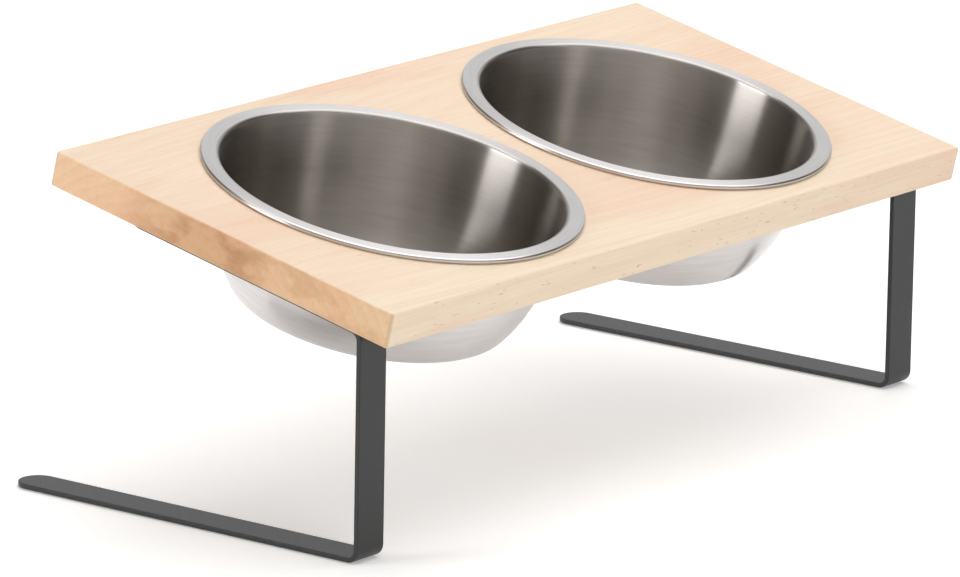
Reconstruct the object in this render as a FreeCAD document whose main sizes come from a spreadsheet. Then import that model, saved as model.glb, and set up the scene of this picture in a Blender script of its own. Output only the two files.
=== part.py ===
import FreeCAD, Part
import math
import os

import Sketcher
from FreeCAD import Placement, Rotation, Vector

# Elevated pet bowl: two steel bowls hang by their rims in a tilted wooden board, which two bent
# flat-bar legs carry from its front. X runs along the board, Y to the back and Z up from the floor.

# Driving sizes, in millimetres and degrees
SIZES = {
    # Bowls
    "neck_radius": 78.0,  # outside of the wall under the rim
    "rim_width": 7.5,  # neck to the rim's outer edge
    "rim_height": 2.2,
    "rim_hem": 2.4,  # width of the rolled edge
    "lip_radius": 1.8,
    "sheet_thickness": 0.8,
    "bowl_depth": 59.7,  # board's top to the underside of the base
    "wall_draft": 7.5,
    "wall_straight": 26.0,  # board's top to where the wall starts to curve
    "belly_radius": 64.0,
    "base_corner": 11.5,
    # Board
    "rim_gap": 15.0,  # between the two rims
    "end_margin": 31.5,  # rim to the board's end
    "side_margin": 9.5,  # rim to the board's front and back
    "board_thickness": 16.0,
    "board_corner": 1.6,  # radius of the upright corners
    "board_edge": 1.0,  # round along the edges of the top, the underside and the ends
    "board_tilt": 12.75,
    "board_height": 98.5,  # floor to the lower front edge
    "hole_clearance": 2.0,
    "hole_round": 1.0,
    # Legs
    "bar_width": 18.0,
    "bar_thickness": 2.3,
    "bar_edge": 0.4,
    "bend_radius": 3.5,  # inside the bend
    "leg_inset": 4.25,  # board's end to the bar's outer side
    "leg_setback": 17.0,  # board's lower front edge to the riser's front
    "foot_past_board": 25.7,  # board's lower back edge to the foot's tip, measured level
    "flange_end_gap": 40.0,  # flange's end to the board's back
    "tip_flat": 0.2,  # what is left of the straight end between the two round corners
    # Screws
    "screw_count": 3,
    "screw_bend_gap": 19.2,  # bend to the first screw
    "screw_end_gap": 12.0,  # last screw to the flange's end
    "shank_radius": 1.75,
    "screw_depth": 11.0,  # depth in the wood, with the point
    "point_length": 3.0,
    "head_radius": 3.6,
    "head_height": 2.3,
    "head_round": 1.6,
    "flange_clearance": 0.4,
    "pilot_clearance": 0.05,
    # Pads
    "pad_thickness": 0.5,
    "pad_length": 40.0,
    "pad_corner": 3.0,
    "pad_margin": 2.5,  # bar's side to the pad's side
    "pad_front_gap": 1.0,  # end of the bend to the front pad
    "pad_rear_gap": 4.0,  # tip to the rear pad
}

# Sizes and places that follow from the driving sizes, as expressions of the sheet
RIM_RADIUS = "(sizes.neck_radius + sizes.rim_width)"
HOLE_RADIUS = "(sizes.neck_radius + sizes.hole_clearance)"
BOWL_PITCH = f"(2 * {RIM_RADIUS} + sizes.rim_gap)"
BOARD_LENGTH = f"({BOWL_PITCH} + 2 * {RIM_RADIUS} + 2 * sizes.end_margin)"
BOARD_DEPTH = f"(2 * {RIM_RADIUS} + 2 * sizes.side_margin)"
FOOT_TIP = f"({BOARD_DEPTH} * cos(sizes.board_tilt) + sizes.foot_past_board)"
BOARD_NOSE = (
    "(sizes.board_edge * (cos(sizes.board_tilt) + sin(sizes.board_tilt) - 1)"
    " - sizes.board_thickness * sin(sizes.board_tilt))"
)
FRONT_EDGE_Y = f"-({FOOT_TIP} + {BOARD_NOSE}) / 2"
LEG_X = f"({BOARD_LENGTH} / 2 - sizes.leg_inset - sizes.bar_width / 2)"
BEND_END = "(sizes.leg_setback + sizes.bar_thickness + sizes.bend_radius)"
FLANGE_REACH = f"({BOARD_DEPTH} - sizes.flange_end_gap)"
SCREW_FIRST = f"({BEND_END} + sizes.screw_bend_gap)"
SCREW_PITCH = f"(({FLANGE_REACH} - sizes.screw_end_gap - {SCREW_FIRST}) / (sizes.screw_count - 1))"

TILT_AXIS = Vector(1, 0, 0)
START, END, CENTRE = 1, 2, 3
ORIGIN = (-1, START)
ACROSS, UPRIGHT = -1, -2
CLOSE = 1e-4  # places nearer than this are the same
LEAST_CUT = 1e-3  # volume under which a cut has missed
NEARLY_UPRIGHT = 0.999  # rise of a unit tangent that counts as upright


def make_sheet(doc):
    """The driving sizes, one row each, under their own names."""
    sheet = doc.addObject("Spreadsheet::Sheet", "sizes")
    for row, (name, value) in enumerate(SIZES.items(), start=1):
        sheet.set(f"A{row}", name)
        sheet.set(f"B{row}", str(value))
        sheet.setAlias(f"B{row}", name)
    doc.recompute()
    return sheet


def size(doc, expression):
    """The number that an expression of the sheet comes to."""
    return float(doc.sizes.evalExpression(expression))


def new_body(doc, label, x, along, up):
    """A sub-part on the board's slope: along it from the lower front edge, and up from its underside."""
    body = doc.addObject("PartDesign::Body", label)
    body.Label = label
    body.Placement = Placement(Vector(), Rotation(TILT_AXIS, SIZES["board_tilt"]))
    body.setExpression("Placement.Base.x", x)
    body.setExpression(
        "Placement.Base.y",
        f"{FRONT_EDGE_Y} + ({along}) * cos(sizes.board_tilt) - ({up}) * sin(sizes.board_tilt)",
    )
    body.setExpression(
        "Placement.Base.z",
        f"sizes.board_height + ({along}) * sin(sizes.board_tilt) + ({up}) * cos(sizes.board_tilt)",
    )
    body.setExpression("Placement.Rotation.Angle", "sizes.board_tilt")
    return body


def new_level_body(doc, label, x, y, z):
    """A sub-part that stands square to the floor."""
    body = doc.addObject("PartDesign::Body", label)
    body.Label = label
    body.setExpression("Placement.Base.x", x)
    body.setExpression("Placement.Base.y", y)
    body.setExpression("Placement.Base.z", z)
    return body


def origin_feature(body, role):
    return next(feature for feature in body.Origin.OriginFeatures if feature.Role == role)


def new_sketch(body, name, plane):
    sketch = body.newObject("Sketcher::SketchObject", name)
    sketch.AttachmentSupport = [(origin_feature(body, plane), "")]
    sketch.MapMode = "FlatFace"
    return sketch


def line(x1, y1, x2, y2):
    return Part.LineSegment(Vector(x1, y1, 0), Vector(x2, y2, 0))


def circle(x, y, radius):
    return Part.Circle(Vector(x, y, 0), Vector(0, 0, 1), radius)


def arc(centre, radius, start_degrees, end_degrees):
    return Part.ArcOfCircle(circle(*centre, radius), math.radians(start_degrees), math.radians(end_degrees))


def relate(sketch, kind, *where):
    """Geometric constraints of one kind, each given as a tuple of edges and points."""
    for items in where:
        sketch.addConstraint(Sketcher.Constraint(kind, *items))


def join(sketch, *edges):
    """Joins the end of each edge to the start of the next."""
    for edge, following in zip(edges, edges[1:]):
        relate(sketch, "Coincident", (edge, END, following, START))


def dimension(sketch, kind, items, expression):
    """A dimension that follows an expression of the sheet."""
    value = size(sketch.Document, expression)
    if kind == "Angle":
        value = math.radians(value)
    index = sketch.addConstraint(Sketcher.Constraint(kind, *items, value))
    sketch.setExpression(f"Constraints[{index}]", expression)


def add_feature(body, kind, name, profile, **expressions):
    """A feature made from a sketch, with its sizes bound to the sheet."""
    feature = body.newObject(f"PartDesign::{kind}", name)
    feature.Profile = profile
    for prop, expression in expressions.items():
        feature.setExpression(prop, expression)
    return feature


def add_turned(body, name, profile):
    """A full turn of a profile about its own upright axis."""
    feature = body.newObject("PartDesign::Revolution", name)
    feature.Profile = profile
    feature.ReferenceAxis = (profile, ["V_Axis"])
    feature.Angle = 360
    return feature


def add_fillet(doc, body, name, radius, wanted):
    """Rounds the edges of the body so far that pass the test."""
    doc.recompute()
    base = body.Tip
    names = [f"Edge{i}" for i, edge in enumerate(base.Shape.Edges, start=1) if wanted(edge)]
    fillet = body.newObject("PartDesign::Fillet", name)
    fillet.Base = (base, names)
    fillet.setExpression("Radius", radius)
    return fillet


def add_row(doc, body, name, original, direction):
    """Repeats a feature at the screws' places."""
    doc.recompute()
    row = body.newObject("PartDesign::LinearPattern", name)
    row.Originals = [original]
    row.Direction = direction
    row.Mode = "Spacing"
    row.setExpression("Offset", SCREW_PITCH)
    row.setExpression("Occurrences", "sizes.screw_count")
    body.Tip = row
    return row


def require_cut(doc, body, volume_before):
    """A cut has to take material away."""
    doc.recompute()
    if body.Shape.Volume >= volume_before - LEAST_CUT:
        raise RuntimeError(f"{body.Label}: a cut took nothing away")


def rectangle(sketch, width, depth):
    """A rectangle of four lines that is centred across: front, right, back, left."""
    half, back = size(sketch.Document, width) / 2, size(sketch.Document, depth)
    sketch.addGeometry(line(-half, 0, half, 0))
    sketch.addGeometry(line(half, 0, half, back))
    sketch.addGeometry(line(half, back, -half, back))
    sketch.addGeometry(line(-half, back, -half, 0))
    join(sketch, 0, 1, 2, 3, 0)
    relate(sketch, "Symmetric", (0, START, 0, END, UPRIGHT))
    relate(sketch, "PointOnObject", (0, START, ACROSS))
    relate(sketch, "Horizontal", (2,))
    relate(sketch, "Vertical", (1,), (3,))
    dimension(sketch, "DistanceX", (0, START, 0, END), width)
    dimension(sketch, "DistanceY", (1, START, 1, END), depth)


def mirrored_circles(sketch, radius, x, y):
    """Two equal circles, one each side of the upright axis."""
    values = [size(sketch.Document, expression) for expression in (x, y, radius)]
    for index, side in enumerate((-1, 1)):
        sketch.addGeometry(circle(side * values[0], values[1], values[2]))
        dimension(sketch, "Radius", (index,), radius)
        dimension(sketch, "DistanceY", (*ORIGIN, index, CENTRE), y)
    dimension(sketch, "DistanceX", (0, CENTRE, *ORIGIN), x)
    dimension(sketch, "DistanceX", (*ORIGIN, 1, CENTRE), x)


def is_upright(edge):
    if edge.Curve.TypeId != "Part::GeomLine":
        return False
    return abs(edge.tangentAt(edge.FirstParameter).z) > NEARLY_UPRIGHT


def is_ring(edge, radius, height):
    """A full circle about the upright axis, at about this radius and height."""
    if edge.Curve.TypeId != "Part::GeomCircle":
        return False
    box = edge.BoundBox
    same_height = abs(box.ZMin - height) < CLOSE and abs(box.ZMax - height) < CLOSE
    return same_height and abs(edge.Curve.Radius - radius) < SIZES["sheet_thickness"] / 4


def make_board(doc):
    """Wooden board with rounded edges, a hole for each bowl and pilot holes for the screws."""
    body = new_body(doc, "board", "0", "0", "0")
    outline = new_sketch(body, "board_outline", "XY_Plane")
    rectangle(outline, BOARD_LENGTH, BOARD_DEPTH)
    add_feature(body, "Pad", "board_blank", outline, Length="sizes.board_thickness")
    add_fillet(doc, body, "board_corners", "sizes.board_corner", is_upright)

    def on_face(edge):
        return edge.BoundBox.ZLength < CLOSE

    add_fillet(doc, body, "board_edges", "sizes.board_edge", on_face)
    doc.recompute()

    holes = new_sketch(body, "bowl_hole_circles", "XY_Plane")
    mirrored_circles(holes, HOLE_RADIUS, f"{BOWL_PITCH} / 2", f"{BOARD_DEPTH} / 2")
    volume = body.Shape.Volume
    bowl_holes = add_feature(body, "Pocket", "bowl_holes", holes)
    bowl_holes.Type = "ThroughAll"
    bowl_holes.Reversed = True
    require_cut(doc, body, volume)

    def on_hole(edge):
        faces = (0, SIZES["board_thickness"])
        return any(is_ring(edge, size(doc, HOLE_RADIUS), height) for height in faces)

    add_fillet(doc, body, "bowl_hole_rounds", "sizes.hole_round", on_hole)
    doc.recompute()

    pilots = new_sketch(body, "pilot_circles", "XY_Plane")
    mirrored_circles(pilots, "sizes.shank_radius + sizes.pilot_clearance", LEG_X, SCREW_FIRST)
    volume = body.Shape.Volume
    pilot_depth = "sizes.screw_depth + sizes.pilot_clearance"
    pilot_holes = add_feature(body, "Pocket", "pilot_holes", pilots, Length=pilot_depth)
    pilot_holes.Reversed = True
    require_cut(doc, body, volume)
    add_row(doc, body, "pilot_hole_rows", pilot_holes, (origin_feature(body, "Y_Axis"), [""]))
    return body


def cup_profile(body):
    """Half section of the bowl as a solid cup: base, belly arc, drafted wall, mouth and axis."""
    sketch = new_sketch(body, "cup_profile", "XZ_Plane")
    draft = math.radians(SIZES["wall_draft"])
    top, bottom, straight = SIZES["rim_height"], -SIZES["bowl_depth"], -SIZES["wall_straight"]
    neck, belly = SIZES["neck_radius"], SIZES["belly_radius"]
    wall_end = neck - (top - straight) * math.tan(draft)
    centre = (wall_end - belly * math.cos(draft), straight + belly * math.sin(draft))
    turn = math.asin((bottom - centre[1]) / belly)
    base_edge = centre[0] + belly * math.cos(turn)

    sketch.addGeometry(line(0, bottom, base_edge, bottom))
    sketch.addGeometry(arc(centre, belly, math.degrees(turn), -SIZES["wall_draft"]))
    sketch.addGeometry(line(wall_end, straight, neck, top))
    sketch.addGeometry(line(neck, top, 0, top))
    sketch.addGeometry(line(0, top, 0, bottom))
    join(sketch, 2, 3, 4, 0, 1)
    relate(sketch, "Tangent", (1, END, 2, START))
    relate(sketch, "Horizontal", (0,), (3,))
    relate(sketch, "Vertical", (4,))
    relate(sketch, "PointOnObject", (4, START, UPRIGHT))
    dimension(sketch, "DistanceY", (0, START, *ORIGIN), "sizes.bowl_depth")
    dimension(sketch, "DistanceY", (*ORIGIN, 3, END), "sizes.rim_height")
    dimension(sketch, "DistanceX", (*ORIGIN, 2, END), "sizes.neck_radius")
    dimension(sketch, "DistanceY", (2, START, *ORIGIN), "sizes.wall_straight")
    dimension(sketch, "Angle", (2,), "90 - sizes.wall_draft")
    dimension(sketch, "Radius", (1,), "sizes.belly_radius")
    return sketch


def rim_profile(body):
    """Half section of the rim: a flat flange whose outer edge is rolled under and rests on the board."""
    sketch = new_sketch(body, "rim_profile", "XZ_Plane")
    top, sheet, hem = SIZES["rim_height"], SIZES["sheet_thickness"], SIZES["rim_hem"]
    outer = size(body.Document, RIM_RADIUS)
    roll = top / 2
    inner = SIZES["neck_radius"] - sheet / 2

    sketch.addGeometry(line(inner, top, outer - roll, top))
    sketch.addGeometry(arc((outer - roll, roll), roll, -90, 90))
    sketch.addGeometry(line(outer - roll, 0, outer - hem, 0))
    sketch.addGeometry(line(outer - hem, 0, outer - hem, top - sheet))
    sketch.addGeometry(line(outer - hem, top - sheet, inner, top - sheet))
    sketch.addGeometry(line(inner, top - sheet, inner, top))
    relate(sketch, "Tangent", (0, END, 1, END), (1, START, 2, START))
    join(sketch, 2, 3, 4, 5, 0)
    relate(sketch, "Horizontal", (0,), (2,), (4,))
    relate(sketch, "Vertical", (3,), (5,))
    relate(sketch, "PointOnObject", (2, START, ACROSS))
    dimension(sketch, "DistanceY", (*ORIGIN, 0, START), "sizes.rim_height")
    dimension(sketch, "DistanceY", (5, START, 5, END), "sizes.sheet_thickness")
    dimension(sketch, "DistanceX", (*ORIGIN, 1, CENTRE), f"{RIM_RADIUS} - sizes.rim_height / 2")
    dimension(sketch, "DistanceX", (*ORIGIN, 3, START), f"{RIM_RADIUS} - sizes.rim_hem")
    dimension(sketch, "DistanceX", (*ORIGIN, 0, START), "sizes.neck_radius - sizes.sheet_thickness / 2")
    return sketch


def make_bowl(doc, label, side):
    """Drawn steel bowl: a thin cup with a rounded base and a rim that hangs it in the board."""
    body = new_body(doc, label, f"{side} * {BOWL_PITCH} / 2", f"{BOARD_DEPTH} / 2", "sizes.board_thickness")
    top, sheet = SIZES["rim_height"], SIZES["sheet_thickness"]
    draft = math.radians(SIZES["wall_draft"])
    add_turned(body, "cup", cup_profile(body))

    def on_base(edge):
        round_edge = edge.Curve.TypeId == "Part::GeomCircle"
        return round_edge and abs(edge.BoundBox.ZMax + SIZES["bowl_depth"]) < CLOSE

    add_fillet(doc, body, "base_round", "sizes.base_corner", on_base)
    doc.recompute()

    def at_mouth(face):
        return face.BoundBox.ZMin > top - CLOSE

    cup = body.Tip
    mouth = [f"Face{i}" for i, face in enumerate(cup.Shape.Faces, start=1) if at_mouth(face)]
    shell = body.newObject("PartDesign::Thickness", "cup_wall")
    shell.Base = (cup, mouth)
    shell.Reversed = True
    shell.setExpression("Value", "sizes.sheet_thickness")
    doc.recompute()

    add_turned(body, "rim", rim_profile(body))
    under = SIZES["neck_radius"] - sheet * math.tan(draft)
    lip = SIZES["neck_radius"] - sheet / math.cos(draft)

    def under_rim(edge):
        return is_ring(edge, under, top - sheet)

    def on_lip(edge):
        return is_ring(edge, lip, top)

    add_fillet(doc, body, "neck_round", "sizes.lip_radius - sizes.sheet_thickness", under_rim)
    add_fillet(doc, body, "lip_round", "sizes.lip_radius", on_lip)
    doc.recompute()
    return body


def leg_profile(body):
    """Side view of the bent bar, from the board's lower front edge: foot, riser and flange with two bends."""
    sketch = new_sketch(body, "leg_profile", "YZ_Plane")
    tilt = math.radians(SIZES["board_tilt"])
    bar, inside = SIZES["bar_thickness"], SIZES["bend_radius"]
    outside = inside + bar
    front = SIZES["leg_setback"]
    back = front + bar
    tip, reach = size(body.Document, FOOT_TIP), size(body.Document, FLANGE_REACH)
    sole = SIZES["pad_thickness"] - SIZES["board_height"]
    bend_y = back + inside
    low_bend = (bend_y, sole + outside)
    high_bend = (bend_y, (bend_y * math.sin(tilt) - outside) / math.cos(tilt))
    slope = (math.cos(tilt), math.sin(tilt))
    square = (-math.sin(tilt), math.cos(tilt))
    slope_degrees = 90 + SIZES["board_tilt"]

    def off_high_bend(radius):
        return high_bend[0] + radius * square[0], high_bend[1] + radius * square[1]

    flange_end = (reach * slope[0], reach * slope[1])
    flange_foot = (flange_end[0] - bar * square[0], flange_end[1] - bar * square[1])

    sketch.addGeometry(line(tip, sole, bend_y, sole))
    sketch.addGeometry(arc(low_bend, outside, 180, 270))
    sketch.addGeometry(line(front, low_bend[1], front, high_bend[1]))
    sketch.addGeometry(arc(high_bend, outside, slope_degrees, 180))
    sketch.addGeometry(line(*off_high_bend(outside), *flange_end))
    sketch.addGeometry(line(*flange_end, *flange_foot))
    sketch.addGeometry(line(*flange_foot, *off_high_bend(inside)))
    sketch.addGeometry(arc(high_bend, inside, slope_degrees, 180))
    sketch.addGeometry(line(back, high_bend[1], back, low_bend[1]))
    sketch.addGeometry(arc(low_bend, inside, 180, 270))
    sketch.addGeometry(line(bend_y, sole + bar, tip, sole + bar))
    sketch.addGeometry(line(tip, sole + bar, tip, sole))
    outer_joins = ((0, END, 1, END), (1, START, 2, START), (2, END, 3, END), (3, START, 4, START))
    inner_joins = ((6, END, 7, START), (7, END, 8, START), (8, END, 9, START), (9, END, 10, START))
    relate(sketch, "Tangent", *outer_joins, *inner_joins)
    join(sketch, 4, 5, 6)
    join(sketch, 10, 11, 0)
    relate(sketch, "Coincident", (1, CENTRE, 9, CENTRE), (3, CENTRE, 7, CENTRE))
    relate(sketch, "Horizontal", (0,), (10,))
    relate(sketch, "Vertical", (2,), (8,), (11,))
    relate(sketch, "Parallel", (4, 6))
    relate(sketch, "Perpendicular", (4, 5))
    relate(sketch, "PointOnObject", (*ORIGIN, 4))
    dimension(sketch, "Radius", (9,), "sizes.bend_radius")
    dimension(sketch, "Radius", (7,), "sizes.bend_radius")
    dimension(sketch, "DistanceY", (11, END, 11, START), "sizes.bar_thickness")
    dimension(sketch, "DistanceY", (0, START, *ORIGIN), "sizes.board_height - sizes.pad_thickness")
    dimension(sketch, "DistanceX", (*ORIGIN, 2, START), "sizes.leg_setback")
    dimension(sketch, "DistanceX", (2, START, 0, START), f"{FOOT_TIP} - sizes.leg_setback")
    dimension(sketch, "Angle", (4,), "sizes.board_tilt")
    dimension(sketch, "Distance", (*ORIGIN, 4, END), FLANGE_REACH)
    return sketch


def make_leg(doc, label, side):
    """Flat bar bent into a foot, a riser and a flange, with round ends and screw holes in the flange."""
    body = new_level_body(doc, label, f"{side} * {LEG_X}", FRONT_EDGE_Y, "sizes.board_height")
    bar = add_feature(body, "Pad", "bent_bar", leg_profile(body), Length="sizes.bar_width")
    bar.SideType = "Symmetric"

    def at_end(edge):
        straight = edge.Curve.TypeId == "Part::GeomLine"
        return straight and abs(edge.Length - SIZES["bar_thickness"]) < CLOSE

    add_fillet(doc, body, "round_ends", "(sizes.bar_width - sizes.tip_flat) / 2", at_end)

    def along_side(edge):
        side_x = SIZES["bar_width"] / 2
        return edge.BoundBox.XLength < CLOSE and abs(abs(edge.BoundBox.XMin) - side_x) < CLOSE

    add_fillet(doc, body, "eased_edges", "sizes.bar_edge", along_side)
    doc.recompute()

    hole = new_sketch(body, "flange_hole_circle", "XY_Plane")
    hole.AttachmentOffset = Placement(Vector(), Rotation(TILT_AXIS, SIZES["board_tilt"]))
    hole.setExpression("AttachmentOffset.Rotation.Angle", "sizes.board_tilt")
    radius = "sizes.shank_radius + sizes.flange_clearance"
    hole.addGeometry(circle(0, size(doc, SCREW_FIRST), size(doc, radius)))
    relate(hole, "PointOnObject", (0, CENTRE, UPRIGHT))
    dimension(hole, "Radius", (0,), radius)
    dimension(hole, "DistanceY", (*ORIGIN, 0, CENTRE), SCREW_FIRST)
    volume = body.Shape.Volume
    holes = add_feature(body, "Pocket", "flange_holes", hole, Length="2 * sizes.bar_thickness")
    require_cut(doc, body, volume)
    add_row(doc, body, "flange_hole_row", holes, (hole, ["V_Axis"]))
    return body


def make_leg_screws(doc, label, side):
    """Pan-head wood screws that come up through the flange into the board."""
    body = new_body(doc, label, f"{side} * {LEG_X}", SCREW_FIRST, "0")
    body.AllowCompound = True
    sketch = new_sketch(body, "screw_profile", "XZ_Plane")
    seat = -SIZES["bar_thickness"]
    crown = seat - SIZES["head_height"]
    head, shank, soft = SIZES["head_radius"], SIZES["shank_radius"], SIZES["head_round"]
    point, taper = SIZES["screw_depth"], SIZES["point_length"]

    sketch.addGeometry(line(0, crown, head - soft, crown))
    sketch.addGeometry(arc((head - soft, crown + soft), soft, -90, 0))
    sketch.addGeometry(line(head, crown + soft, head, seat))
    sketch.addGeometry(line(head, seat, shank, seat))
    sketch.addGeometry(line(shank, seat, shank, point - taper))
    sketch.addGeometry(line(shank, point - taper, 0, point))
    sketch.addGeometry(line(0, point, 0, crown))
    relate(sketch, "Tangent", (0, END, 1, START), (1, END, 2, START))
    join(sketch, 2, 3, 4, 5, 6, 0)
    relate(sketch, "Horizontal", (0,), (3,))
    relate(sketch, "Vertical", (2,), (4,), (6,))
    relate(sketch, "PointOnObject", (6, START, UPRIGHT))
    dimension(sketch, "DistanceY", (3, START, *ORIGIN), "sizes.bar_thickness")
    dimension(sketch, "DistanceY", (0, START, 3, START), "sizes.head_height")
    dimension(sketch, "DistanceX", (*ORIGIN, 3, START), "sizes.head_radius")
    dimension(sketch, "Radius", (1,), "sizes.head_round")
    dimension(sketch, "DistanceX", (*ORIGIN, 4, START), "sizes.shank_radius")
    dimension(sketch, "DistanceY", (*ORIGIN, 6, START), "sizes.screw_depth")
    dimension(sketch, "DistanceY", (4, END, 6, START), "sizes.point_length")
    screw = add_turned(body, "screw", sketch)
    add_row(doc, body, "screw_row", screw, (origin_feature(body, "Y_Axis"), [""]))
    return body


def make_pad(doc, label, side, front):
    """Thin anti-slip pad stuck under the foot."""
    body = new_level_body(doc, label, f"{side} * {LEG_X}", f"{FRONT_EDGE_Y} + {front}", "0")
    sketch = new_sketch(body, "pad_outline", "XY_Plane")
    rectangle(sketch, "sizes.bar_width - 2 * sizes.pad_margin", "sizes.pad_length")
    add_feature(body, "Pad", "pad_sheet", sketch, Length="sizes.pad_thickness")
    add_fillet(doc, body, "pad_corners", "sizes.pad_corner", is_upright)
    return body


def make_parts(doc):
    """Every sub-part of the stand, left side first."""
    front_pad = f"{BEND_END} + sizes.pad_front_gap"
    rear_pad = f"{FOOT_TIP} - sizes.pad_rear_gap - sizes.pad_length"
    parts = [make_board(doc)]
    for name, side in (("left", -1), ("right", 1)):
        parts.append(make_bowl(doc, f"{name}_bowl", side))
        parts.append(make_leg(doc, f"{name}_leg", side))
        parts.append(make_leg_screws(doc, f"{name}_leg_screws", side))
        parts.append(make_pad(doc, f"{name}_front_pad", side, front_pad))
        parts.append(make_pad(doc, f"{name}_rear_pad", side, rear_pad))
    doc.recompute()
    return parts


def require_sound(doc, parts):
    """Stops before anything is written if a feature failed or a shape is unsound."""
    for item in doc.Objects:
        if "Invalid" in item.State or "Error" in item.State:
            raise RuntimeError(f"{item.Name} failed: {item.State}")
    for part in parts:
        if part.Shape.isNull() or not part.Shape.isValid():
            raise RuntimeError(f"{part.Label} has no sound shape")


def main():
    doc = FreeCAD.newDocument("elevated_pet_bowl")
    make_sheet(doc)
    parts = make_parts(doc)
    require_sound(doc, parts)
    os.makedirs("parts", exist_ok=True)
    for part in parts:
        part.Shape.exportStep(f"parts/{part.Label}.step")
        box = part.Shape.optimalBoundingBox(False, False)
        print(part.Label, f"{len(part.Shape.Solids)} solid, {part.Shape.Volume:.0f} mm3")
        print(f"  x {box.XMin:.2f} to {box.XMax:.2f}, y {box.YMin:.2f} to {box.YMax:.2f}")
        print(f"  z {box.ZMin:.2f} to {box.ZMax:.2f}")


main()
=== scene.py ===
"""Looks of the elevated pet bowl: its materials, its finely turned bowls and its recessed screws.

The floor, the lamps, the room and the camera come after the part.
"""

import math

import bmesh
import bpy
from mathutils import Matrix, Vector


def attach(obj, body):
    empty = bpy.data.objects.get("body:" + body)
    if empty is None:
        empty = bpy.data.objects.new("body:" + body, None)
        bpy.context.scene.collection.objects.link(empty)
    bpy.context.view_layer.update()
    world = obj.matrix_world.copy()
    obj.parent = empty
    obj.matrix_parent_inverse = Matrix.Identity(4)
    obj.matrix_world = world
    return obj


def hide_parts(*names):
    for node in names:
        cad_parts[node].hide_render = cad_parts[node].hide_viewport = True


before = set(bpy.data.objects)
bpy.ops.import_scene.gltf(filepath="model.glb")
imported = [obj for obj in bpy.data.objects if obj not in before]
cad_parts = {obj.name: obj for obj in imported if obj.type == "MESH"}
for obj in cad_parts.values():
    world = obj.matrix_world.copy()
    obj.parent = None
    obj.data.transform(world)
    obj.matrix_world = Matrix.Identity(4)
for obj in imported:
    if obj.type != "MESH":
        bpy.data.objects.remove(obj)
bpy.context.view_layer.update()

# The tilted board, in metres
BOARD_TILT = math.radians(12.75)
BOARD_FRONT_EDGE = (0.0, -0.10384, 0.0985)
BOARD_AXES = Matrix.Translation(BOARD_FRONT_EDGE) @ Matrix.Rotation(BOARD_TILT, 4, "X")
BOARD_DEPTH = 0.19

# The bowls, whose axes stand square to the board
BOWL_X = 0.093
BOWL_ON_BOARD = (0.095, 0.016)
BOWL_AXIS = (0.0, -math.sin(BOARD_TILT), math.cos(BOARD_TILT))

# Half section of a bowl, from its own origin at the level of the board's top
NECK_RADIUS = 0.078
RIM_RADIUS = 0.0855
RIM_HEIGHT = 0.0022
RIM_HEM = 0.0024
LIP_RADIUS = 0.0018
SHEET = 0.0008
BOWL_DEPTH = 0.0597
WALL_DRAFT = math.radians(7.5)
WALL_STRAIGHT = 0.026
BELLY_RADIUS = 0.064
BASE_CORNER = 0.0115
BOWL_SIDES = 192
ARC_STEP = math.radians(6)
EDGE_SHARE = 0.03

# The screws, along their axes from the crown to the point
SCREW_X = 0.19675
SCREW_PLACES = (0.042, 0.090, 0.138)
SCREW_CROWN = -0.0046
SCREW_SEAT = -0.0023
SCREW_SHANK_END = 0.008
SCREW_POINT = 0.011
HEAD_RADIUS = 0.0036
HEAD_ROUND = 0.0016
SHANK_RADIUS = 0.00175
SCREW_SIDES = 48
ROUND_STEPS = 8

# The cross recess in each head
RECESS_DEPTH = 0.0015
RECESS_MOUTH = (0.0021, 0.00055)
RECESS_FLOOR = (0.0008, 0.0004)
RECESS_PROUD = 0.0003
SHARP_ANGLE = math.radians(35)

# The range that holds most of a noise's values
NOISE_RANGE = (0.3, 0.7)

# The wood's colours, and the shades that are multiplied with them
CREAM = (0.875, 0.745, 0.575)
PEACH = (0.86, 0.635, 0.485)
RING_SHADE = (0.93, 0.86, 0.79)
FIBRE_SHADE = (0.95, 0.92, 0.88)
FLECK_SHADE = (0.62, 0.48, 0.36)
END_SHADE = (0.97, 0.83, 0.69)
END_HEART_SHADE = (0.78, 0.72, 0.63)
END_MOTTLE_SHADE = (0.78, 0.69, 0.60)
CORNER_SHADE = (0.80, 0.77, 0.68)

# The wood's figure, in grains to the metre along the board, across it and through it
WANDER_GRAIN = (3.0, 16.0, 16.0)
CLOUD_GRAIN = (1.6, 22.0, 40.0)
BLOTCH_GRAIN = (7.0, 26.0, 26.0)
MOTTLE_GRAIN = (30.0, 55.0, 110.0)
FIBRE_GRAIN = (7.0, 620.0, 620.0)
FLECK_GRAIN = (170.0, 1500.0, 1500.0)

# The noise values between which each figure sets in
CLOUD_RANGE = (0.35, 0.65)
BLOTCH_RANGE = (0.48, 0.66)
MOTTLE_RANGE = (0.46, 0.60)
FIBRE_RANGE = (0.35, 0.70)
FLECK_RANGE = (0.70, 0.76)

# How far the grain wanders, and the log's rings about its pith
WANDER_REACH = (0.0, 0.016, 0.016)
WANDER_MIDDLE = (0.0, -0.008, -0.008)
PITH_POINT = (0.0, 0.118, -0.052)
PITH_DIRECTION = (0.9955, 0.03, 0.09)
RING_SPACING = 0.0055
RING_TONES = ((0.0, 0.1), (0.25, 0.0), (0.85, 0.9), (0.92, 1.0), (1.0, 0.1))

# How strongly the figures show: on the long faces and the ends, or on the top and the front
RING_STRENGTH = (0.25, 0.45)
FLECK_STRENGTH = (0.25, 0.90)
FRONT_FACING = (0.3, 0.9)
END_POWER = 3.0
END_TONES = ((0.0, 0.45), (0.33, 0.50), (0.45, 1.0), (0.60, 1.0), (0.80, 0.10), (1.0, 0.0))
PINK_FROM = (0.015, 0.08)
REAR_PINK = 0.3
CLOUD_PINK = 0.3
BLOTCH_PINK = 0.65

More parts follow.
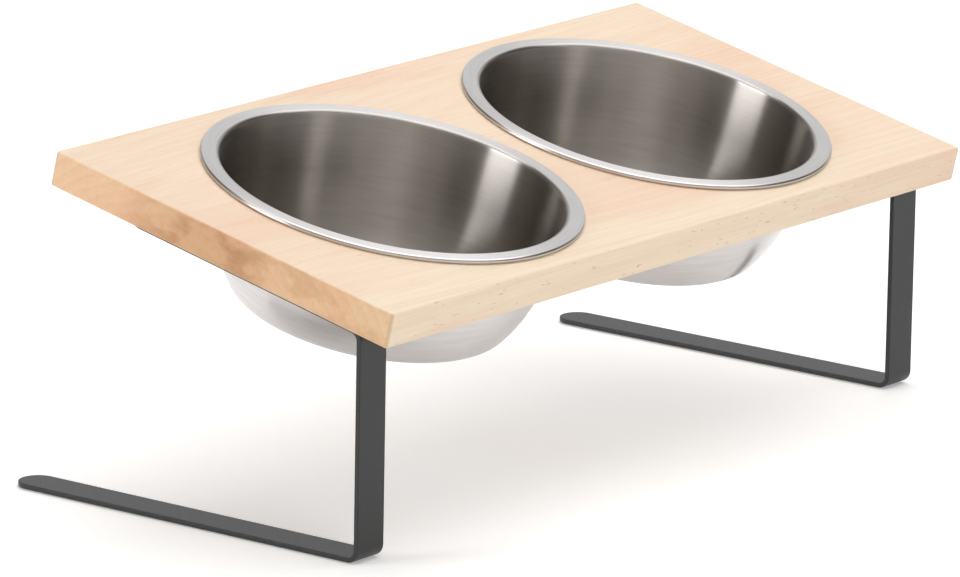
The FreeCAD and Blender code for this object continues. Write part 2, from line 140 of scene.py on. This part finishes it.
# The wood's finish
WOOD_ROUGHNESS = (0.44, 0.58)
WOOD_SPECULAR = 0.4
WOOD_RELIEF = 0.00008
FLECK_SINK = 0.6

# Steel: each pair is for the polished outside and the brushed inside, or for the ends of a noise; the
# inside's darker, warmer colour is painted shade and a painted warm reflection
STEEL = (0.69, 0.665, 0.655)
STEEL_INSIDE_SHADED = (0.505, 0.475, 0.445)
BRUSHING = (0.75, 1.0)
BRUSH_TURN = 0.25
BRUSH_SHADE = (0.90, 0.90, 0.90)
BRUSH_GRAIN = (750.0, 3.0, 3.0)
STEEL_ROUGHNESS = (0.277, 0.300)
SHEET_GRAIN = (28.0, 28.0, 28.0)
SHEET_WAVE = 0.00001

# The cosines and heights between which a point of a bowl counts as inside it
WALL_INWARD = (-0.02, -0.25)
BASE_UPWARD = (0.2, 0.5)
BASE_BELOW = (-0.004, -0.008)

# Powder coat on the legs
COAT_DARK = (0.010, 0.010, 0.011)
COAT_PALE = (0.016, 0.016, 0.017)
COAT_GRAIN = (40.0, 40.0, 40.0)
COAT_ROUGHNESS = (0.35, 0.45)
PEEL_GRAIN = (1500.0, 1500.0, 1500.0)
PEEL_RELIEF = 0.00003

# Zinc on the screws
ZINC_COOL = (0.55, 0.57, 0.60)
ZINC_WARM = (0.68, 0.66, 0.60)
ZINC_GRAIN = (500.0, 500.0, 500.0)
ZINC_ROUGHNESS = (0.26, 0.40)
ZINC_RELIEF = 0.00002

# Rubber under the feet
RUBBER_DARK = (0.010, 0.010, 0.010)
RUBBER_PALE = (0.020, 0.020, 0.020)
RUBBER_GRAIN = (900.0, 900.0, 900.0)
RUBBER_ROUGHNESS = (0.75, 0.90)
RUBBER_RELIEF = 0.00005

# The floor
FLOOR_HALF = 8.0
FLOOR_WHITE = (0.90, 0.90, 0.90, 1.0)
FLOOR_ROUGHNESS = 0.9
FLOOR_GLOW = 0.26
GLOW_WHITE = (1.0, 1.0, 1.0, 1.0)

# The lamps, at levels where 1 shows a white surface as white
LAMP_TARGET = (0.0, 0.0, 0.1)
KEY_PLACE = (0.7, -0.2, 3.0)
KEY_SIZE = (3.6, 3.6)
KEY_LEVEL = 0.96
FILL_PLACE = (-0.9, -3.2, 1.3)
FILL_SIZE = (2.4, 2.0)
FILL_LEVEL = 0.28

# The room: its greys by height, warmer above the horizon
ROOM_GREY = 0.30
ROOM_TONES = ((0.0, 0.95), (0.10, 0.90), (0.24, ROOM_GREY), (1.0, ROOM_GREY))
ROOM_TINT = (1.0, 0.94, 0.87)
ABOVE_HORIZON = (0.02, 0.12)

# Its dark and pale sides: where each lies, and the cosines at its edge and where it is full
DARK_FRONT = (0.85, -0.40, 0.35)
DARK_FRONT_EDGE = (0.50, 0.72)
DARK_FRONT_SHADE = (0.12, 0.12, 0.12)
DIM_BACK = (0.15, 0.88, 0.45)
DIM_BACK_EDGE = (0.80, 0.92)
DIM_BACK_SHADE = (0.5, 0.5, 0.5)
PALE_SIDE = (0.77, 0.43, 0.47)
PALE_SIDE_EDGE = (0.84, 0.92)
PALE_SIDE_COLOUR = (0.80, 0.80, 0.81)

# Its bright panel at the left back, whose edges go by two cosines, by side and by height
PANEL_AXIS = (0.0, 0.975, 0.221)
PANEL_BACK_EDGE = (0.75, 0.72)
PANEL_FRONT_EDGE = (0.39, 0.42)
PANEL_SIDE_EDGE = (-0.15, -0.25)
PANEL_FOOT = (0.06, 0.12)
PANEL_HEAD = (0.50, 0.42)
PANEL_GLOW = (7.8, 7.8, 7.8)

# The camera, fitted to the photograph
CAMERA_PLACE = (-2.869309, -2.180416, 0.958218)
CAMERA_RIGHT = (0.60963711, -0.79248937, 0.01741212)
CAMERA_UP = (0.17963306, 0.15951404, 0.97071481)
CAMERA_BACK = (-0.77205865, -0.58865598, 0.23960297)
CAMERA_LENS = 311.3728801
CAMERA_REACH = 100.0
SENSOR_WIDTH = 36.0


def node(tree, kind, **settings):
    """Adds a shader node."""
    item = tree.nodes.new("ShaderNode" + kind)
    for name, value in settings.items():
        setattr(item, name, value)
    return item


def feed(tree, socket, value):
    """Links a socket to another one, or sets it to a plain value."""
    if isinstance(value, bpy.types.NodeSocket):
        tree.links.new(value, socket)
    else:
        socket.default_value = value


def calc(tree, operation, *values):
    """A sum on plain numbers."""
    item = node(tree, "Math", operation=operation)
    for socket, value in zip(item.inputs, values):
        feed(tree, socket, value)
    return item.outputs[0]


def product(tree, first, *others):
    """Several numbers multiplied."""
    for other in others:
        first = calc(tree, "MULTIPLY", first, other)
    return first


def vector_calc(tree, operation, *values):
    """A sum on vectors that gives a vector."""
    item = node(tree, "VectorMath", operation=operation)
    for socket, value in zip(item.inputs, values):
        feed(tree, socket, value)
    return item.outputs["Vector"]


def vector_length(tree, vector):
    """How long a vector is."""
    item = node(tree, "VectorMath", operation="LENGTH")
    feed(tree, item.inputs[0], vector)
    return item.outputs["Value"]


def split(tree, vector):
    """The three parts of a vector."""
    item = node(tree, "SeparateXYZ")
    feed(tree, item.inputs[0], vector)
    return item.outputs


def merge(tree, *parts):
    """A vector from its three parts."""
    item = node(tree, "CombineXYZ")
    for socket, value in zip(item.inputs, parts):
        feed(tree, socket, value)
    return item.outputs[0]


def noise_node(tree, place, per_metre, detail, roughness):
    """Noise with a given number of grains to the metre along each axis."""
    item = node(tree, "TexNoise")
    feed(tree, item.inputs["Vector"], vector_calc(tree, "MULTIPLY", place, per_metre))
    item.inputs["Scale"].default_value = 1.0
    item.inputs["Detail"].default_value = detail
    item.inputs["Roughness"].default_value = roughness
    return item


def noise(tree, place, per_metre, detail=2.0, roughness=0.5):
    """Noise as one number about a half."""
    return noise_node(tree, place, per_metre, detail, roughness).outputs["Fac"]


def noise_vector(tree, place, per_metre, detail=2.0, roughness=0.5):
    """Noise as a vector about a half."""
    return noise_node(tree, place, per_metre, detail, roughness).outputs["Color"]


def span(tree, value, low, high, to_low=0.0, to_high=1.0):
    """Carries a number from one range over to another and keeps it there."""
    item = node(tree, "MapRange", clamp=True)
    for socket, part in zip(item.inputs, (value, low, high, to_low, to_high)):
        feed(tree, socket, part)
    return item.outputs[0]


def ramp(tree, factor, stops):
    """Greys along a factor, from pairs of place and grey."""
    item = node(tree, "ValToRGB")
    elements = item.color_ramp.elements
    elements[0].position = stops[0][0]
    elements[-1].position = stops[-1][0]
    for place, _ in stops[1:-1]:
        elements.new(place)
    for element, (_, grey) in zip(elements, stops):
        element.color = (grey, grey, grey, 1.0)
    feed(tree, item.inputs[0], factor)
    return item.outputs["Color"]


def mix(tree, factor, first, second, blend="MIX"):
    """Two colours mixed by a factor."""
    item = node(tree, "Mix", data_type="RGBA", blend_type=blend)
    feed(tree, item.inputs[0], factor)
    for socket, colour in ((item.inputs[6], first), (item.inputs[7], second)):
        feed(tree, socket, (*colour, 1.0) if isinstance(colour, tuple) else colour)
    return item.outputs[2]


def shaded(tree, colour, factor, shade):
    """A colour that darkens towards its product with a shade."""
    return mix(tree, factor, colour, shade, "MULTIPLY")


def facing(tree, direction, towards, low, high):
    """How far a direction lies towards a given one: 0 up to one cosine, 1 from another."""
    item = node(tree, "VectorMath", operation="DOT_PRODUCT")
    feed(tree, item.inputs[0], direction)
    feed(tree, item.inputs[1], towards)
    return span(tree, item.outputs["Value"], low, high)


def bump(tree, height, distance):
    """A normal that rises and falls with a height."""
    item = node(tree, "Bump")
    item.inputs["Distance"].default_value = distance
    feed(tree, item.inputs["Height"], height)
    return item.outputs["Normal"]


def new_material(name):
    """A material with its node tree and its main shader."""
    material = bpy.data.materials.new(name)
    material.use_nodes = True
    return material, material.node_tree, material.node_tree.nodes["Principled BSDF"]


def object_place(tree):
    """Where a point is in the part's own frame, in metres."""
    return node(tree, "TexCoord").outputs["Object"]


def tilted_place(tree, origin):
    """Where a point is in axes that lie along the tilted board, in metres."""
    item = node(tree, "Mapping", vector_type="TEXTURE")
    item.inputs["Location"].default_value = origin
    item.inputs["Rotation"].default_value = (BOARD_TILT, 0.0, 0.0)
    feed(tree, item.inputs["Vector"], object_place(tree))
    return item.outputs["Vector"]


def wandering_place(tree):
    """Where a point of the board is along its grain, which wanders a little."""
    place = tilted_place(tree, BOARD_FRONT_EDGE)
    wander = noise_vector(tree, place, WANDER_GRAIN)
    drift = vector_calc(tree, "MULTIPLY_ADD", wander, WANDER_REACH, WANDER_MIDDLE)
    return vector_calc(tree, "ADD", place, drift)


def wood_rings(tree, place):
    """The dark of the growth rings about the log's pith."""
    from_pith = vector_calc(tree, "SUBTRACT", place, PITH_POINT)
    across = vector_calc(tree, "CROSS_PRODUCT", from_pith, PITH_DIRECTION)
    turns = calc(tree, "DIVIDE", vector_length(tree, across), RING_SPACING)
    return ramp(tree, calc(tree, "FRACT", turns), RING_TONES)


def wood_pink(tree, place, depth):
    """How pink the wood is: more towards the back, in long clouds and in blotches."""
    rear = span(tree, depth, *PINK_FROM)
    cloud = span(tree, noise(tree, place, CLOUD_GRAIN), *CLOUD_RANGE)
    blotch = span(tree, noise(tree, place, BLOTCH_GRAIN, 3.0), *BLOTCH_RANGE)
    streaks = calc(tree, "MULTIPLY_ADD", rear, REAR_PINK, product(tree, cloud, CLOUD_PINK))
    return calc(tree, "MULTIPLY_ADD", blotch, BLOTCH_PINK, streaks)


def wood_end(tree, colour, place, depth, end_grain):
    """Darkens the board's ends, most of all at their mottled heart."""
    mottle = span(tree, noise(tree, place, MOTTLE_GRAIN, 5.0), *MOTTLE_RANGE)
    end_tone = ramp(tree, calc(tree, "DIVIDE", depth, BOARD_DEPTH), END_TONES)
    heart = product(tree, end_grain, end_tone)
    colour = shaded(tree, colour, end_grain, END_SHADE)
    colour = shaded(tree, colour, heart, END_HEART_SHADE)
    return shaded(tree, colour, product(tree, heart, mottle), END_MOTTLE_SHADE)


def pale_wood():
    """Pale wood with its fibres along the board, flecks on the front and mottled ends."""
    material, tree, shader = new_material("pale_wood_grain")
    place = wandering_place(tree)
    depth = split(tree, place)[1]
    fibres = noise(tree, place, FIBRE_GRAIN, 4.0, 0.6)
    flecks = span(tree, noise(tree, place, FLECK_GRAIN, 1.0), *FLECK_RANGE)
    normal_x, normal_y, _ = split(tree, node(tree, "NewGeometry").outputs["Normal"])
    end_grain = calc(tree, "POWER", calc(tree, "ABSOLUTE", normal_x), END_POWER)
    corner = calc(tree, "ABSOLUTE", product(tree, 2.0, normal_x, normal_y))
    ring_strength = span(tree, end_grain, 0.0, 1.0, *RING_STRENGTH)
    fleck_strength = span(tree, calc(tree, "ABSOLUTE", normal_y), *FRONT_FACING, *FLECK_STRENGTH)

    colour = mix(tree, wood_pink(tree, place, depth), CREAM, PEACH)
    colour = shaded(tree, colour, product(tree, wood_rings(tree, place), ring_strength), RING_SHADE)
    colour = shaded(tree, colour, span(tree, fibres, *FIBRE_RANGE), FIBRE_SHADE)
    colour = shaded(tree, colour, product(tree, flecks, fleck_strength), FLECK_SHADE)
    colour = wood_end(tree, colour, place, depth, end_grain)
    colour = shaded(tree, colour, corner, CORNER_SHADE)
    tree.links.new(colour, shader.inputs["Base Color"])
    tree.links.new(span(tree, fibres, *NOISE_RANGE, *WOOD_ROUGHNESS), shader.inputs["Roughness"])
    shader.inputs["Specular IOR Level"].default_value = WOOD_SPECULAR
    relief = calc(tree, "SUBTRACT", fibres, product(tree, flecks, FLECK_SINK))
    tree.links.new(bump(tree, relief, WOOD_RELIEF), shader.inputs["Normal"])
    return material


def brush_lines(tree, place):
    """Fine lines that run around a bowl's axis."""
    x, y, z = split(tree, place)
    flat = merge(tree, x, y, 0.0)
    along = calc(tree, "SUBTRACT", vector_length(tree, flat), z)
    around_x, around_y, _ = split(tree, vector_calc(tree, "NORMALIZE", flat))
    lines = noise(tree, merge(tree, along, around_x, around_y), BRUSH_GRAIN)
    return span(tree, lines, *NOISE_RANGE)


def bowl_inside(tree, tangent, height):
    """Whether a point is on the inner side of a bowl's wall or on its floor."""
    normal = node(tree, "NewGeometry").outputs["Normal"]
    outward = vector_calc(tree, "CROSS_PRODUCT", tangent, BOWL_AXIS)
    wall = facing(tree, normal, outward, *WALL_INWARD)
    floor = product(tree, facing(tree, normal, BOWL_AXIS, *BASE_UPWARD), span(tree, height, *BASE_BELOW))
    return calc(tree, "MAXIMUM", wall, floor)


def bowl_steel(name, side):
    """Satin steel with its brush lines around the bowl's axis, and painted shade that darkens and warms it
    inside the bowl.
    """
    material, tree, shader = new_material(name)
    centre = BOARD_AXES @ Vector((side * BOWL_X, *BOWL_ON_BOARD))
    place = tilted_place(tree, centre)
    offset = vector_calc(tree, "SUBTRACT", object_place(tree), tuple(centre))
    tangent = vector_calc(tree, "NORMALIZE", vector_calc(tree, "CROSS_PRODUCT", BOWL_AXIS, offset))
    inside = bowl_inside(tree, tangent, split(tree, place)[2])
    wave = noise(tree, place, SHEET_GRAIN)

    # Painted shade: the steel is darker and warmer inside the bowl, standing in for the dim reflections there
    colour = mix(tree, inside, STEEL, STEEL_INSIDE_SHADED)
    colour = shaded(tree, colour, brush_lines(tree, place), BRUSH_SHADE)
    tree.links.new(colour, shader.inputs["Base Color"])
    tree.links.new(span(tree, wave, *NOISE_RANGE, *STEEL_ROUGHNESS), shader.inputs["Roughness"])
    shader.inputs["Metallic"].default_value = 1.0
    tree.links.new(span(tree, inside, 0.0, 1.0, *BRUSHING), shader.inputs["Anisotropic"])
    shader.inputs["Anisotropic Rotation"].default_value = BRUSH_TURN
    tree.links.new(tangent, shader.inputs["Tangent"])
    tree.links.new(bump(tree, wave, SHEET_WAVE), shader.inputs["Normal"])
    return material


def leg_coat():
    """Dark satin powder coat with a fine orange peel."""
    material, tree, shader = new_material("leg_powder_coat")
    place = object_place(tree)
    peel = noise(tree, place, PEEL_GRAIN)
    cloud = noise(tree, place, COAT_GRAIN)
    tree.links.new(mix(tree, cloud, COAT_DARK, COAT_PALE), shader.inputs["Base Color"])
    tree.links.new(span(tree, peel, *NOISE_RANGE, *COAT_ROUGHNESS), shader.inputs["Roughness"])
    tree.links.new(bump(tree, peel, PEEL_RELIEF), shader.inputs["Normal"])
    return material


def screw_zinc():
    """Bright zinc plating with a faint cloud of colour."""
    material, tree, shader = new_material("screw_zinc_plate")
    cloud = noise(tree, object_place(tree), ZINC_GRAIN, 3.0)
    tree.links.new(mix(tree, cloud, ZINC_COOL, ZINC_WARM), shader.inputs["Base Color"])
    tree.links.new(span(tree, cloud, *NOISE_RANGE, *ZINC_ROUGHNESS), shader.inputs["Roughness"])
    shader.inputs["Metallic"].default_value = 1.0
    tree.links.new(bump(tree, cloud, ZINC_RELIEF), shader.inputs["Normal"])
    return material


def pad_rubber():
    """Matt black sheet rubber."""
    material, tree, shader = new_material("pad_sheet_rubber")
    grain = noise(tree, object_place(tree), RUBBER_GRAIN, 3.0)
    tree.links.new(mix(tree, grain, RUBBER_DARK, RUBBER_PALE), shader.inputs["Base Color"])
    tree.links.new(span(tree, grain, *NOISE_RANGE, *RUBBER_ROUGHNESS), shader.inputs["Roughness"])
    tree.links.new(bump(tree, grain, RUBBER_RELIEF), shader.inputs["Normal"])
    return material


def wear(name, material):
    """Gives a node of the part its material."""
    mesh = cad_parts[name].data
    mesh.materials.clear()
    mesh.materials.append(material)


def screw_profile():
    """Half of a screw's outline, as pairs of radius and height along its axis."""
    crown = HEAD_RADIUS - HEAD_ROUND
    outline = [(0.0, SCREW_CROWN)]
    for step in range(ROUND_STEPS + 1):
        turn = math.pi / 2 * step / ROUND_STEPS
        radius = crown + HEAD_ROUND * math.sin(turn)
        outline.append((radius, SCREW_CROWN + HEAD_ROUND * (1.0 - math.cos(turn))))
    outline += [(HEAD_RADIUS, SCREW_SEAT), (SHANK_RADIUS, SCREW_SEAT)]
    outline += [(SHANK_RADIUS, SCREW_SHANK_END), (0.0, SCREW_POINT)]
    return outline


def turned_mesh(name, outline, sides):
    """A closed solid of revolution about the Z axis whose outline starts and ends on that axis."""
    shape = bmesh.new()
    first = shape.verts.new((0.0, 0.0, outline[0][1]))
    last = shape.verts.new((0.0, 0.0, outline[-1][1]))
    angles = [2.0 * math.pi * side / sides for side in range(sides)]
    rings = []
    for radius, height in outline[1:-1]:
        points = [(radius * math.cos(angle), radius * math.sin(angle), height) for angle in angles]
        rings.append([shape.verts.new(point) for point in points])
    for side in range(sides):
        following = (side + 1) % sides
        shape.faces.new((first, rings[0][following], rings[0][side]))
        shape.faces.new((last, rings[-1][side], rings[-1][following]))
        for low, high in zip(rings, rings[1:]):
            shape.faces.new((low[side], low[following], high[following], high[side]))
    bmesh.ops.recalc_face_normals(shape, faces=shape.faces)
    mesh = bpy.data.meshes.new(name)
    shape.to_mesh(mesh)
    shape.free()
    return mesh


def recess_arm(name, turn):
    """A tapered bar that cuts one arm of the cross recess."""
    shape = bmesh.new()
    bmesh.ops.create_cube(shape, size=2.0)
    floor = SCREW_CROWN + RECESS_DEPTH
    for vertex in shape.verts:
        length, width = RECESS_FLOOR if vertex.co.z > 0.0 else RECESS_MOUTH
        height = floor if vertex.co.z > 0.0 else SCREW_CROWN - RECESS_PROUD
        vertex.co = (vertex.co.x * length, vertex.co.y * width, height)
    bmesh.ops.rotate(shape, verts=shape.verts, matrix=Matrix.Rotation(turn, 3, "Z"))
    mesh = bpy.data.meshes.new(name)
    shape.to_mesh(mesh)
    shape.free()
    return mesh


def new_object(name, mesh):
    """Puts a mesh into the scene."""
    piece = bpy.data.objects.new(name, mesh)
    bpy.context.scene.collection.objects.link(piece)
    return piece


def finish_mesh(mesh, material):
    """Gives a detailed mesh its material and shades it smooth between its sharp edges."""
    mesh.materials.append(material)
    mesh.shade_smooth()
    mesh.set_sharp_from_angle(angle=SHARP_ANGLE)


def screw_mesh():
    """A pan-head screw with a cross recess, its axis on Z."""
    blank = new_object("screw_blank", turned_mesh("screw_blank", screw_profile(), SCREW_SIDES))
    turns = {"arm_0": 0.0, "arm_1": math.pi / 2}
    arms = [new_object(name, recess_arm(name, turn)) for name, turn in turns.items()]
    for arm in arms:
        cut = blank.modifiers.new(arm.name, "BOOLEAN")
        cut.operation = "DIFFERENCE"
        cut.solver = "EXACT"
        cut.object = arm
    bpy.context.view_layer.update()
    finished = bpy.data.meshes.new_from_object(blank.evaluated_get(bpy.context.evaluated_depsgraph_get()))
    for helper in (blank, *arms):
        bpy.data.objects.remove(helper)
    return finished


def make_screws(name, side, single, material):
    """The screws of one leg as one piece, in place of the plain ones."""
    group = bmesh.new()
    for place in SCREW_PLACES:
        before = len(group.verts)
        group.from_mesh(single)
        group.verts.ensure_lookup_table()
        spot = BOARD_AXES @ Matrix.Translation((side * SCREW_X, place, 0.0))
        bmesh.ops.transform(group, matrix=spot, verts=group.verts[before:])
    mesh = bpy.data.meshes.new(f"{name}_detail")
    group.to_mesh(mesh)
    group.free()
    finish_mesh(mesh, material)
    piece = new_object(mesh.name, mesh)
    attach(piece, "stand")
    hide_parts(name)


def arc_points(centre, radius, start, stop):
    """Points along an arc of the half section, both ends included."""
    steps = math.ceil(abs(stop - start) / ARC_STEP)
    turns = [start + (stop - start) * step / steps for step in range(steps + 1)]
    return [(centre[0] + radius * math.cos(turn), centre[1] + radius * math.sin(turn)) for turn in turns]


def straight_points(start, stop):
    """Points inside a straight run of the half section, close to its ends so that it shades flat."""
    shares = (EDGE_SHARE, 0.5, 1.0 - EDGE_SHARE)
    return [tuple(a + (b - a) * share for a, b in zip(start, stop)) for share in shares]


def bowl_side(inset):
    """One face of the sheet from the base's edge up to the lip, set in from the outer face."""
    wall_end = NECK_RADIUS - (RIM_HEIGHT + WALL_STRAIGHT) * math.tan(WALL_DRAFT)
    belly_reach = BELLY_RADIUS * math.cos(WALL_DRAFT)
    belly_rise = BELLY_RADIUS * math.sin(WALL_DRAFT)
    belly = (wall_end - belly_reach, belly_rise - WALL_STRAIGHT)
    corner_height = BASE_CORNER - BOWL_DEPTH
    corner_reach = math.sqrt((BELLY_RADIUS - BASE_CORNER) ** 2 - (corner_height - belly[1]) ** 2)
    corner = (belly[0] + corner_reach, corner_height)
    turn = math.atan2(corner_height - belly[1], corner_reach)
    neck = NECK_RADIUS - SHEET / math.cos(WALL_DRAFT) - LIP_RADIUS * math.tan(WALL_DRAFT)
    lip = (neck + LIP_RADIUS / math.cos(WALL_DRAFT), RIM_HEIGHT - LIP_RADIUS)
    lower = arc_points(corner, BASE_CORNER - inset, -math.pi / 2, turn)
    lower += arc_points(belly, BELLY_RADIUS - inset, turn, -WALL_DRAFT)[1:]
    upper = arc_points(lip, LIP_RADIUS - SHEET + inset, math.pi - WALL_DRAFT, math.pi / 2)
    return lower + straight_points(lower[-1], upper[0]) + upper


def bowl_profile():
    """Half section of a bowl: inside, flat rim with its rolled edge, and outside."""
    inner = bowl_side(SHEET)
    outer = bowl_side(0.0)[::-1]
    roll = RIM_HEIGHT / 2
    rolled_edge = arc_points((RIM_RADIUS - roll, roll), roll, math.pi / 2, -math.pi / 2)
    hem = [(RIM_RADIUS - RIM_HEM, 0.0), (RIM_RADIUS - RIM_HEM, RIM_HEIGHT - SHEET)]
    floor = (0.0, SHEET - BOWL_DEPTH)
    base = (0.0, -BOWL_DEPTH)
    return [floor, *straight_points(floor, inner[0]), *inner, *straight_points(inner[-1], rolled_edge[0]),
            *rolled_edge, *hem, *outer, *straight_points(outer[-1], base), base]


def make_bowl(name, side, material):
    """A finely turned bowl in place of the faceted one."""
    mesh = turned_mesh(f"{name}_detail", bowl_profile(), BOWL_SIDES)
    mesh.transform(BOARD_AXES @ Matrix.Translation((side * BOWL_X, *BOWL_ON_BOARD)))
    finish_mesh(mesh, material)
    piece = new_object(mesh.name, mesh)
    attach(piece, name)
    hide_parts(name)


def dress_part():
    """Materials on the plain nodes, and detailed bowls and screws in place of theirs."""
    wear("board", pale_wood())
    coat = leg_coat()
    rubber = pad_rubber()
    zinc = screw_zinc()
    single = screw_mesh()
    for label, side in (("left", -1), ("right", 1)):
        make_bowl(f"{label}_bowl", side, bowl_steel(f"{label}_bowl_brushed_steel_shaded_inside", side))
        wear(f"{label}_leg", coat)
        wear(f"{label}_front_pad", rubber)
        wear(f"{label}_rear_pad", rubber)
        make_screws(f"{label}_leg_screws", side, single, zinc)


def floor_white():
    """Matt white that glows a little where it is looked at, and casts no extra light on the part."""
    material, tree, shader = new_material("floor_white")
    shader.inputs["Base Color"].default_value = FLOOR_WHITE
    shader.inputs["Roughness"].default_value = FLOOR_ROUGHNESS
    shader.inputs["Specular IOR Level"].default_value = 0.0
    rays = node(tree, "LightPath").outputs
    seen = calc(tree, "MAXIMUM", rays["Is Camera Ray"], rays["Is Glossy Ray"])
    seen = calc(tree, "MAXIMUM", seen, rays["Is Transmission Ray"])
    shader.inputs["Emission Color"].default_value = GLOW_WHITE
    tree.links.new(product(tree, seen, FLOOR_GLOW), shader.inputs["Emission Strength"])
    return material


def make_floor():
    """A plain floor that keeps the shadow."""
    shape = bmesh.new()
    bmesh.ops.create_grid(shape, x_segments=1, y_segments=1, size=FLOOR_HALF)
    mesh = bpy.data.meshes.new("floor")
    shape.to_mesh(mesh)
    shape.free()
    mesh.materials.append(floor_white())
    new_object("floor", mesh)


def softbox(name, place, size, level, mirrored):
    """A soft rectangular lamp that gives about this level of light at its target, seen in metal or not."""
    lamp = bpy.data.lights.new(name, "AREA")
    lamp.shape = "RECTANGLE"
    lamp.size, lamp.size_y = size
    beam = Vector(LAMP_TARGET) - Vector(place)
    lamp.energy = level * math.pi ** 2 * beam.length_squared
    holder = bpy.data.objects.new(name, lamp)
    holder.location = place
    holder.rotation_euler = beam.to_track_quat("-Z", "Y").to_euler()
    holder.visible_camera = False
    holder.visible_glossy = mirrored
    bpy.context.scene.collection.objects.link(holder)


def make_lamps():
    """Soft lamps: a large one above, and a fill from the front."""
    softbox("overhead", KEY_PLACE, KEY_SIZE, KEY_LEVEL, True)
    softbox("front_fill", FILL_PLACE, FILL_SIZE, FILL_LEVEL, False)


def bright_panel(tree, direction):
    """Where the room's bright panel lies."""
    x, _, z = split(tree, direction)
    back_edge = facing(tree, direction, PANEL_AXIS, *PANEL_BACK_EDGE)
    front_edge = facing(tree, direction, PANEL_AXIS, *PANEL_FRONT_EDGE)
    side_edge = span(tree, x, *PANEL_SIDE_EDGE)
    foot = span(tree, z, *PANEL_FOOT)
    head = span(tree, z, *PANEL_HEAD)
    return product(tree, back_edge, front_edge, side_edge, foot, head)


def make_world():
    """A pale room: bright low down and at the right back, dim above, with a bright panel at the left back."""
    world = bpy.data.worlds.new("studio")
    bpy.context.scene.world = world
    world.use_nodes = True
    tree = world.node_tree
    direction = node(tree, "TexCoord").outputs["Generated"]
    height = split(tree, direction)[2]
    above = span(tree, height, *ABOVE_HORIZON)
    room = shaded(tree, ramp(tree, height, ROOM_TONES), above, ROOM_TINT)
    room = shaded(tree, room, facing(tree, direction, DARK_FRONT, *DARK_FRONT_EDGE), DARK_FRONT_SHADE)
    back = product(tree, above, facing(tree, direction, DIM_BACK, *DIM_BACK_EDGE))
    room = shaded(tree, room, back, DIM_BACK_SHADE)
    room = mix(tree, facing(tree, direction, PALE_SIDE, *PALE_SIDE_EDGE), room, PALE_SIDE_COLOUR)
    room = mix(tree, bright_panel(tree, direction), room, PANEL_GLOW)
    tree.links.new(room, tree.nodes["Background"].inputs["Color"])


def make_camera():
    """The camera at the photograph's place."""
    data = bpy.data.cameras.new("camera")
    data.lens = CAMERA_LENS
    data.sensor_width = SENSOR_WIDTH
    data.clip_end = CAMERA_REACH
    holder = bpy.data.objects.new("camera", data)
    turn = Matrix((CAMERA_RIGHT, CAMERA_UP, CAMERA_BACK)).transposed()
    holder.matrix_world = Matrix.Translation(CAMERA_PLACE) @ turn.to_4x4()
    bpy.context.scene.collection.objects.link(holder)
    bpy.context.scene.camera = holder


dress_part()
make_floor()
make_lamps()
make_world()
make_camera()
bpy.context.scene.view_settings.view_transform = "Standard"
